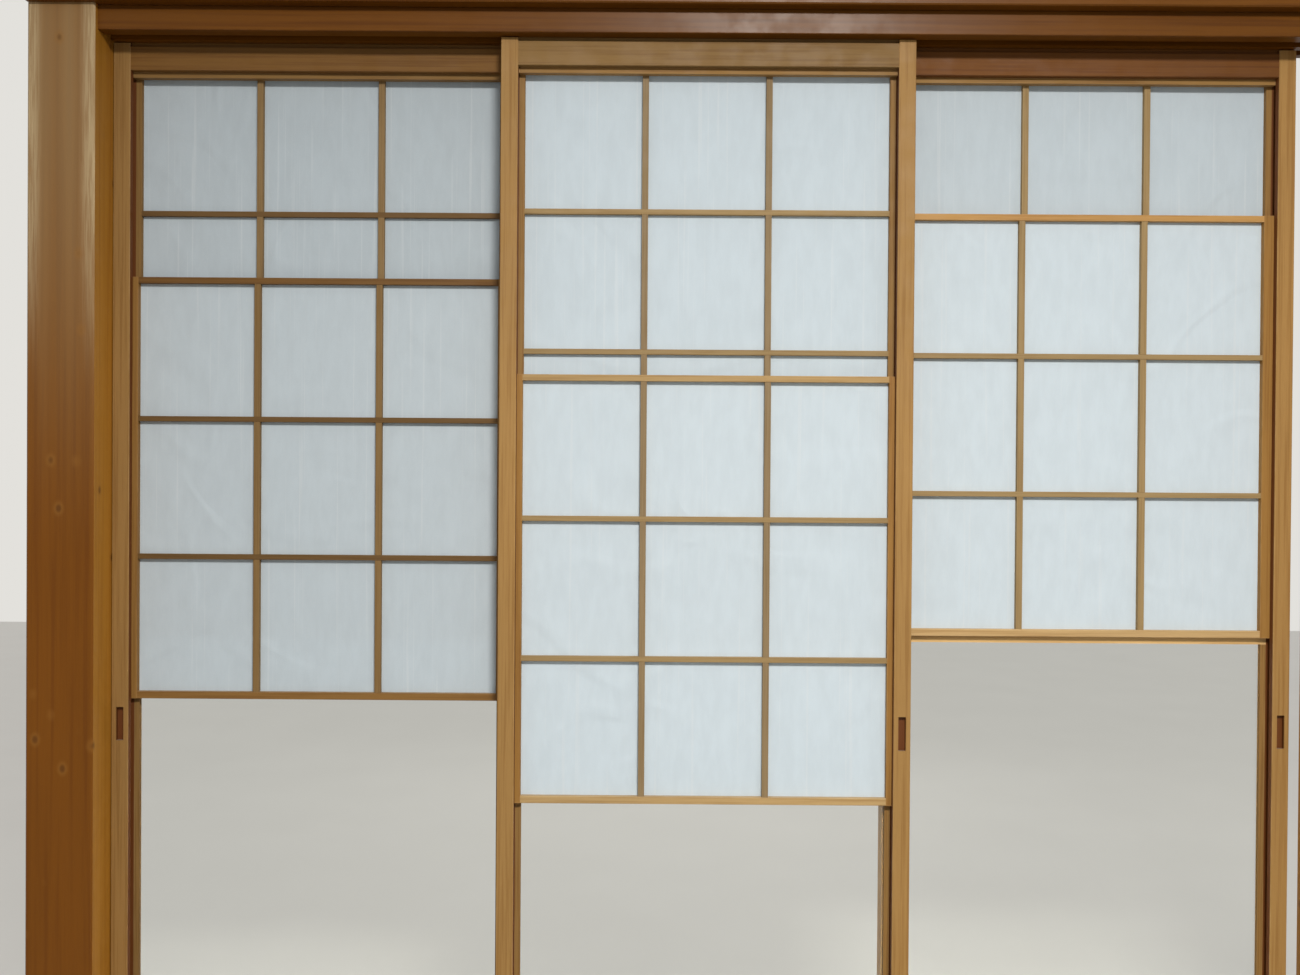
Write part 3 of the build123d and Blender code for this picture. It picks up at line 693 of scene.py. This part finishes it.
# %% Tones of the shoji
TINTS = {"left": 0.78, "middle": 0.93, "right": 0.97}
OWN_TONES = {
    # The top rails' tints are partly their own tone and partly painted shadow from the head, most on the
    # left and right panels.
    "top_rail": (0.65, 0.63, 0.55),
    "left_top_rail": (0.65, 0.52, 0.3),
    "right_top_rail": (0.43, 0.26, 0.09),
    "sash_top_rail": (0.9, 0.88, 0.84),
    "left_sash_top_rail": (0.39, 0.28, 0.14),
    "right_sash_top_rail": (0.97, 0.8, 0.57),
    "sash_stile_left": (0.66, 0.5, 0.26),
    "sash_stile_right": (0.66, 0.5, 0.26),
    "left_lattice_uprights": (0.88, 0.82, 0.76),
    "middle_lattice_uprights": (0.8, 0.82, 0.95),
    "left_sash_lattice": (0.8, 0.7, 0.56),
    "middle_sash_lattice": (0.8, 0.82, 0.95),
    "left_lattice_crosses": (0.52, 0.41, 0.27),
    "left_sash_crosses": (0.52, 0.41, 0.27),
    "left_sash_bottom_rail": (0.58, 0.44, 0.24),
    "right_sash_bottom_rail": (1.08, 1.08, 1.12),
    # The right waist rail is lightened to paint out the shade that its small sash throws on it: painted
    # light.
    "right_waist_rail": (1.3, 1.27, 1.2),
}


def tone_of(side, piece):
    """The tone of one piece: its panel's, times its own where it has one."""
    own = OWN_TONES.get(side + "_" + piece, OWN_TONES.get(piece, PLAIN))
    return tuple(TINTS[side] * c for c in own)


print(len(OWN_TONES), "tones of their own")

# %% [markdown]
# The shoji's wood
#
# The grain runs along every piece, so uprights and level pieces go through the recipe with another axis.
# Two pieces hold both: the strips round the lattice and the lattice of the small sash. They are dressed
# as uprights first, and their level parts get a second material by place and by height.

# %% Dress the shoji
UPRIGHT_PIECES = {
    "stile_left": "stile",
    "stile_right": "stile",
    "lattice_uprights": "bar",
    "lattice_trim": "strip",
    "glass_beads": "strip",
    "sash_stile_left": "sash",
    "sash_stile_right": "sash",
    "sash_lattice": "bar",
}
LEVEL_PIECES = {
    "top_rail": "rail",
    "waist_rail": "sash",
    "bottom_rail": "rail",
    "lattice_crosses": "bar",
    "sash_top_rail": "sash",
    "sash_bottom_rail": "sash",
}
TOP_STRIP = 9.5 * MM
CROSS_BAR = 8.7 * MM
number = 10
for side in SIDES:
    for group, axis in ((UPRIGHT_PIECES, "z"), (LEVEL_PIECES, "x")):
        for piece, finish in group.items():
            timber = nodes[side + "_" + piece]
            low, high = box_of(timber)
            recess = {"stile_left": low.x, "stile_right": high.x}.get(piece)
            wood(timber, finish, axis, number, tone_of(side, piece), recess)
            number += 1
    trim, lattice = nodes[side + "_lattice_trim"], nodes[side + "_sash_lattice"]
    strip_from = box_of(trim)[1].z - TOP_STRIP
    wood(
        trim,
        "strip",
        "x",
        number,
        tone_of(side, "lattice_trim"),
        where=lambda lowest, highest: lowest.z > strip_from,
    )
    wood(
        lattice,
        "bar",
        "x",
        number + 1,
        tone_of(side, "sash_crosses"),
        where=lambda lowest, highest: highest.z - lowest.z < CROSS_BAR,
    )
    number += 2
print("shoji dressed,", number, "planks")

# %% [markdown]
# Glass
#
# The panes are thin, old and wiped by hand. Real glass is the shader's own Transmission, kept plain, and
# the wiping shows as faint arcs that are a trace rougher than the rest, with the shallow ripple of drawn
# sheet glass as a bump. Clear glass would still throw a dark shadow in Cycles, because a lamp's rays
# don't bend through it, so for shadow rays alone it is a plain transparent sheet.

# %% Glass
GLASS_COLOUR = (0.96, 0.98, 0.97, 1.0)
GLASS_SHADOW = (0.95, 0.97, 0.96, 1.0)
WIPE_STRETCH = (1.0, 1.0, 0.3)
WIPES_PER_METRE = 9.0
WIPED_ROUGH = 0.05
RIPPLES_PER_METRE = 5.0
glass, tree, shader, place = new_material("drawn_glass")
fill(tree, shader, {"Base Color": GLASS_COLOUR, "Transmission Weight": 1.0, "IOR": 1.5})
wiped = long_clouds(
    tree, place, WIPE_STRETCH, WIPES_PER_METRE, detail=4.0, roughness=0.6, distortion=1.2
)
feed(tree, shader.inputs["Roughness"], spread(tree, wiped, 0.5, 0.72, 0.0, WIPED_ROUGH))
ripple = clouds(tree, place, RIPPLES_PER_METRE, detail=1.0)
rippled = put(tree, "ShaderNodeBump", Height=ripple, Strength=0.08, Distance=1 * MM)
feed(tree, shader.inputs["Normal"], rippled.outputs[0])
lamp_rays = tree.nodes.new("ShaderNodeLightPath").outputs["Is Shadow Ray"]
clear = put(tree, "ShaderNodeBsdfTransparent", Color=GLASS_SHADOW)
either = mix_shaders(tree, lamp_rays, shader.outputs[0], clear.outputs[0])
feed(tree, tree.nodes["Material Output"].inputs["Surface"], either)
for side in SIDES:
    dress(nodes[side + "_glass"], glass)
print("panes dressed")

# %% [markdown]
# Spring steel
#
# The leaf springs are bright strip, drawn along its length, so the brushing runs up and down. Noise drawn
# out along the strip drives both the tone and the roughness, as real scratches do.

# %% Spring steel
BRUSH_STRETCH = (1.0, 1.0, 0.04)
BRUSHES_PER_METRE = 3000.0
steel, tree, shader, place = new_material("spring_steel")
shader.inputs["Metallic"].default_value = 1.0
brushed = long_clouds(tree, place, BRUSH_STRETCH, BRUSHES_PER_METRE)
steel_colour = blend(tree, brushed, paint(150, 152, 155), paint(196, 198, 200))
feed(tree, shader.inputs["Base Color"], steel_colour)
feed(tree, shader.inputs["Roughness"], spread(tree, brushed, 0.3, 0.7, 0.24, 0.4))
for side in SIDES:
    dress(nodes[side + "_sash_springs"], steel)
print("springs dressed")

# %% [markdown]
# Paper
#
# The sheets are handmade: long pale fibres in an even pulp, with the upright lines of the mould that the
# sheet was laid on, and a few soft creases from the pasting. The pattern has to be faint, because what
# the eye sees first is one even sheet. Fibres and creases are ridges where a distorted noise passes its
# middle, and the laid lines are noise drawn out up and down.
#
# Paper lets light through. Subsurface light could show that, but a sheet has no depth to speak of, so a
# share of Translucent light is mixed in, which glows on the side away from a lamp.

# %% Paper
LIGHT_THROUGH = 0.2
PAPER_PALE, PAPER_DARK = (208, 220, 228), (203, 215, 223)
PULP_STRETCH = (1.0, 1.0, 0.3)
PULP_PER_METRE = 60.0
FIBRE_CLOUDS_PER_METRE = 120.0
FIBRE_RIDGE = 0.02
FIBRE, FIBRE_SHARE = paint(232, 233, 232), 0.15
LAID_STRETCH = (1.0, 1.0, 0.012)
LAID_LINES_PER_METRE = 190.0
LAID, LAID_SHARE = paint(236, 240, 243), 0.2
CREASES_PER_METRE = 4.4
CREASE_RIDGE = 0.1
FIBRE_DEPTH, CREASE_DEPTH = 0.3 * MM, 2.6 * MM


def ridges(tree, noise, width):
    """Thin lines where a noise passes its middle."""
    off_middle = sum_of(tree, "ABSOLUTE", sum_of(tree, "SUBTRACT", noise, 0.5))
    return spread(tree, off_middle, 0.0, width, 1.0, 0.0)


def paper_colour(tree, place, tint, pulp, fibre):
    """The sheet's tone with its fibres and laid lines."""
    dark, pale = (tinted(colour, (tint, tint, tint)) for colour in (PAPER_DARK, PAPER_PALE))
    laid = long_clouds(tree, place, LAID_STRETCH, LAID_LINES_PER_METRE)
    laid_lines = spread(tree, laid, 0.6, 0.72)
    colour = blend(tree, spread(tree, pulp, 0.3, 0.7), dark, pale)
    colour = blend(tree, sum_of(tree, "MULTIPLY", fibre, FIBRE_SHARE), colour, FIBRE)
    return blend(tree, sum_of(tree, "MULTIPLY", laid_lines, LAID_SHARE), colour, LAID)


def paper_finish(name, tint):
    """The finish of one sheet of paper."""
    material, tree, shader, place = new_material(name)
    pulp = long_clouds(tree, place, PULP_STRETCH, PULP_PER_METRE, detail=5.0, roughness=0.6)
    strands = clouds(tree, place, FIBRE_CLOUDS_PER_METRE, distortion=2.6)
    fibre = ridges(tree, strands, FIBRE_RIDGE)
    folds = clouds(tree, place, CREASES_PER_METRE, detail=1.6, roughness=0.4, distortion=1.1)
    crease = ridges(tree, folds, CREASE_RIDGE)
    colour = paper_colour(tree, place, tint, pulp, fibre)
    feed(tree, shader.inputs["Base Color"], colour)
    feed(tree, shader.inputs["Roughness"], spread(tree, pulp, 0.3, 0.7, 0.82, 0.95))
    raised = sum_of(tree, "MULTIPLY_ADD", fibre, 0.3, pulp)
    fine = put(tree, "ShaderNodeBump", Height=raised, Strength=0.18, Distance=FIBRE_DEPTH)
    folded = put(
        tree,
        "ShaderNodeBump",
        Height=crease,
        Strength=0.3,
        Distance=CREASE_DEPTH,
        Normal=fine.outputs[0],
    )
    feed(tree, shader.inputs["Normal"], folded.outputs[0])
    through = put(tree, "ShaderNodeBsdfTranslucent", Color=colour)
    both = mix_shaders(tree, LIGHT_THROUGH, shader.outputs[0], through.outputs[0])
    feed(tree, tree.nodes["Material Output"].inputs["Surface"], both)
    return material


# %% [markdown]
# Slack in the glued paper
#
# Paper is pasted wet and dries almost flat, held at the bars and free by about a millimetre between
# them. A cloth simulation would settle the same shape more slowly. Here a fine grid is pushed back by a
# cloudy Displace, weighted by a vertex group that is nothing at the bars and full in the middle of each
# light, and Solidify then gives the sheet its thickness. Each sheet stands for its flat solid.

# %% Helpers for the paper sheets
COLUMN_CLEAR, UPRIGHT_WIDTH = 188 * MM, 10 * MM
ROW_CLEAR, CROSS_HEIGHT = 215.5 * MM, 8.5 * MM
PAPER_LAP = 5 * MM
SHEET_THICKNESS = 0.2 * MM
GRID_STEP = 9.4 * MM
SLACK = 1.1 * MM
SLACK_CLOUD = 0.11
slack_texture = bpy.data.textures.new("slack", "CLOUDS")
slack_texture.noise_scale = SLACK_CLOUD
slack_texture.noise_depth = 1


def free_between(offset, clear, bar):
    """How free the paper is: 0 on a bar, 1 midway between two."""
    share = (offset % (clear + bar)) / clear
    return math.sin(math.pi * share) if 0 < share < 1 and offset > 0 else 0.0


def flat_sheet(node, low, high):
    """A fine upright grid in the place of a flat solid."""
    size = high - low
    bpy.ops.object.select_all(action="DESELECT")
    bpy.ops.mesh.primitive_grid_add(
        x_subdivisions=round(size.x / GRID_STEP),
        y_subdivisions=round(size.z / GRID_STEP),
        size=1,
        location=((low.x + high.x) / 2, low.y + SHEET_THICKNESS / 2, (low.z + high.z) / 2),
        rotation=(math.pi / 2, 0, 0),
    )
    sheet = bpy.context.object
    sheet.name = node + "_sheet"
    sheet.scale = (size.x, size.z, 1)
    bpy.ops.object.transform_apply(location=True, rotation=True, scale=True)
    return sheet


def slacken(sheet, low, high):
    """Let a sheet belly back between the bars."""
    free = sheet.vertex_groups.new(name="free")
    for vertex in sheet.data.vertices:
        across = free_between(vertex.co.x - low.x - PAPER_LAP, COLUMN_CLEAR, UPRIGHT_WIDTH)
        down = free_between(high.z - PAPER_LAP - vertex.co.z, ROW_CLEAR, CROSS_HEIGHT)
        free.add([vertex.index], across * down, "REPLACE")
    slack = sheet.modifiers.new("slack", "DISPLACE")
    slack.texture = slack_texture
    slack.texture_coords = "LOCAL"
    slack.direction = "Y"
    slack.vertex_group = "free"
    slack.mid_level = 0.0
    slack.strength = SLACK
    bpy.ops.object.modifier_apply(modifier="slack")


def thicken(sheet):
    """Give a sheet its thickness."""
    thickness = sheet.modifiers.new("thickness", "SOLIDIFY")
    thickness.thickness = SHEET_THICKNESS
    thickness.offset = 0.0
    bpy.ops.object.modifier_apply(modifier="thickness")
    bpy.ops.object.shade_smooth_by_angle(angle=SMOOTH_UNDER)


# %% [markdown]
# Hanging the six sheets
#
# Each panel has a sheet behind its fixed lattice and another behind its small sash. Each sheet gets a
# tint of its own, which is painted light and shade for the way the lamps fall on it: darker behind the
# fixed lattices and on the left panel, lighter on the small sashes. Its slack is the same each time
# because the cloud it is pushed by has no seed to change.

# %% Paper sheets
# The sheets' tints are painted light and shade: darker behind the fixed lattices and on the left, lighter
# on the small sashes.
FIXED_LIGHT_SHADE_TINTS = {"left": 0.89, "middle": 1.06, "right": 0.99}
SASH_LIGHT_SHADE_TINTS = {"left": 0.98, "middle": 1.12, "right": 1.14}


def slack_sheet(node, body, tint):
    """A sheet of paper that stands for a flat solid and bellies a little between the bars."""
    low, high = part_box(node)
    sheet = flat_sheet(node, low, high)
    slacken(sheet, low, high)
    thicken(sheet)
    dress(sheet, paper_finish(node + "_paper", tint))
    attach(sheet, body)
    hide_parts(node)
    back = box_of(sheet)[1].y - low.y
    print(sheet.name, "bellies", round(back / MM, 2), "mm")


for side in SIDES:
    slack_sheet(side + "_paper", side + "_panel", FIXED_LIGHT_SHADE_TINTS[side])
    slack_sheet(side + "_sash_paper", side + "_sash", SASH_LIGHT_SHADE_TINTS[side])

# %% [markdown]
# Floor
#
# The panels stand on a pale floor, and nothing else is in the room. A white floor in full light would
# throw its own light back on the paper. So it is painted a middle grey, and a little Emission lifts it to
# pale for the rays that look at it, straight, through glass or in a reflection, and for no others.

# %% Floor
FLOOR_SIZE = 14.0
FLOOR_GAP = 0.5 * MM
FLOOR_PAINTS = (paint(142, 140, 135), paint(148, 146, 141))
FLOOR_GLOWS = (paint(197, 194, 188), paint(203, 200, 194))
FLOOR_LIFT = 0.6
FLOOR_ROUGH = 0.8


def looked_at(tree):
    """1 for rays that look, straight, through glass or in a reflection, and 0 for rays of light."""
    rays = tree.nodes.new("ShaderNodeLightPath").outputs
    seen = sum_of(tree, "MAXIMUM", rays["Is Camera Ray"], rays["Is Transmission Ray"])
    return sum_of(tree, "MAXIMUM", seen, rays["Is Glossy Ray"])


bpy.ops.object.select_all(action="DESELECT")
bpy.ops.mesh.primitive_plane_add(size=FLOOR_SIZE, location=(0, 0, cad_low.z - FLOOR_GAP))
floor = bpy.context.object
floor.name = "floor"
floor_paint, tree, shader, place = new_material("floor_paint")
uneven = clouds(tree, place, 3.0, detail=4.0)
feed(tree, shader.inputs["Base Color"], blend(tree, uneven, *FLOOR_PAINTS))
feed(tree, shader.inputs["Emission Color"], blend(tree, uneven, *FLOOR_GLOWS))
feed(tree, shader.inputs["Emission Strength"], sum_of(tree, "MULTIPLY", looked_at(tree), FLOOR_LIFT))
shader.inputs["Roughness"].default_value = FLOOR_ROUGH
dress(floor, floor_paint)
print("floor", FLOOR_SIZE, "m wide")

# %% [markdown]
# Lamps
#
# A warm ceiling lamp hangs in front of the panels and a little to the right, high and not too near, which
# puts a short shadow under every bar and a streak of gloss on the head. A soft light behind the panels
# makes the paper glow a little and keeps the back from going dark. It is hidden from the camera, because
# it would show through the panes.

# %% Lamps


def area_light(name, shape, size, power, place):
    """Hang an area light."""
    data = bpy.data.lights.new(name, "AREA")
    data.shape = shape
    data.size = size
    data.energy = power
    light = bpy.data.objects.new(name, data)
    light.location = place
    bpy.context.scene.collection.objects.link(light)
    return light


LAMP_PLACE = Vector((0.34, -2.3, 2.55))
LAMP_WIDTH = 0.6
LAMP_POWER = 124.0
LAMP_COLOUR = (1.0, 0.96, 0.9)
lamp = area_light("ceiling_lamp", "DISK", LAMP_WIDTH, LAMP_POWER, LAMP_PLACE)
lamp.data.color = LAMP_COLOUR

REAR_PLACE = Vector((0.2, 2.6, 1.9))
REAR_AIM = Vector((0.0, 0.0, 1.0))
REAR_WIDTH = 2.0
REAR_POWER = 16.0
rear_light = area_light("rear_light", "SQUARE", REAR_WIDTH, REAR_POWER, REAR_PLACE)
rear_light.rotation_euler = (REAR_AIM - REAR_PLACE).to_track_quat("-Z", "Y").to_euler()
rear_light.visible_camera = False
rear_light.visible_transmission = False
print("lamps at", tuple(LAMP_PLACE), "and", tuple(REAR_PLACE))

# %% [markdown]
# Room light and backdrop
#
# The rest is even light from all round, low enough that the paper never turns pure white. A world that
# dim would look grey behind the panels. So the rays that look at it see a pale backdrop instead, and the
# object is lit by the dim one.

# %% Room light and backdrop
ROOM_LIGHT = 0.36
WHITE = (1.0, 1.0, 1.0, 1.0)
BACKDROP = paint(226, 224, 219)
world = bpy.data.worlds.new("room")
bpy.context.scene.world = world
world.use_nodes = True
sky = world.node_tree
sky.nodes.clear()
lit = put(sky, "ShaderNodeBackground", Color=WHITE, Strength=ROOM_LIGHT)
shown = put(sky, "ShaderNodeBackground", Color=BACKDROP, Strength=1.0)
room = mix_shaders(sky, looked_at(sky), lit.outputs[0], shown.outputs[0])
feed(sky, sky.nodes.new("ShaderNodeOutputWorld").inputs["Surface"], room)
print("room light", ROOM_LIGHT)

# %% [markdown]
# Camera
#
# The eye is about 1.1 m up and 1.9 m in front of the panels, a hand's width left of the middle, held
# almost level. Its turn, tip and lean are a fraction of a degree each, and are kept because the long
# straight rails show them. The Standard view shows each colour about as it is written.

# %% Camera
EYE = Vector((-0.098, -1.9317, 1.1003))
TURN, TIP, LEAN = 0.00153, -0.00787, 0.00705
LENS, SENSOR = 33.35, 36.0
camera_data = bpy.data.cameras.new("camera")
camera_data.lens = LENS
camera_data.sensor_width = SENSOR
camera = bpy.data.objects.new("camera", camera_data)
turned = Matrix.Rotation(TURN, 4, "Z")
tipped = Matrix.Rotation(math.pi / 2 + TIP, 4, "X")
leaned = Matrix.Rotation(LEAN, 4, "Z")
camera.matrix_world = Matrix.Translation(EYE) @ turned @ tipped @ leaned
bpy.context.scene.collection.objects.link(camera)
bpy.context.scene.camera = camera
bpy.context.scene.view_settings.view_transform = "Standard"
print("camera at", tuple(EYE), "with a", LENS, "mm lens")
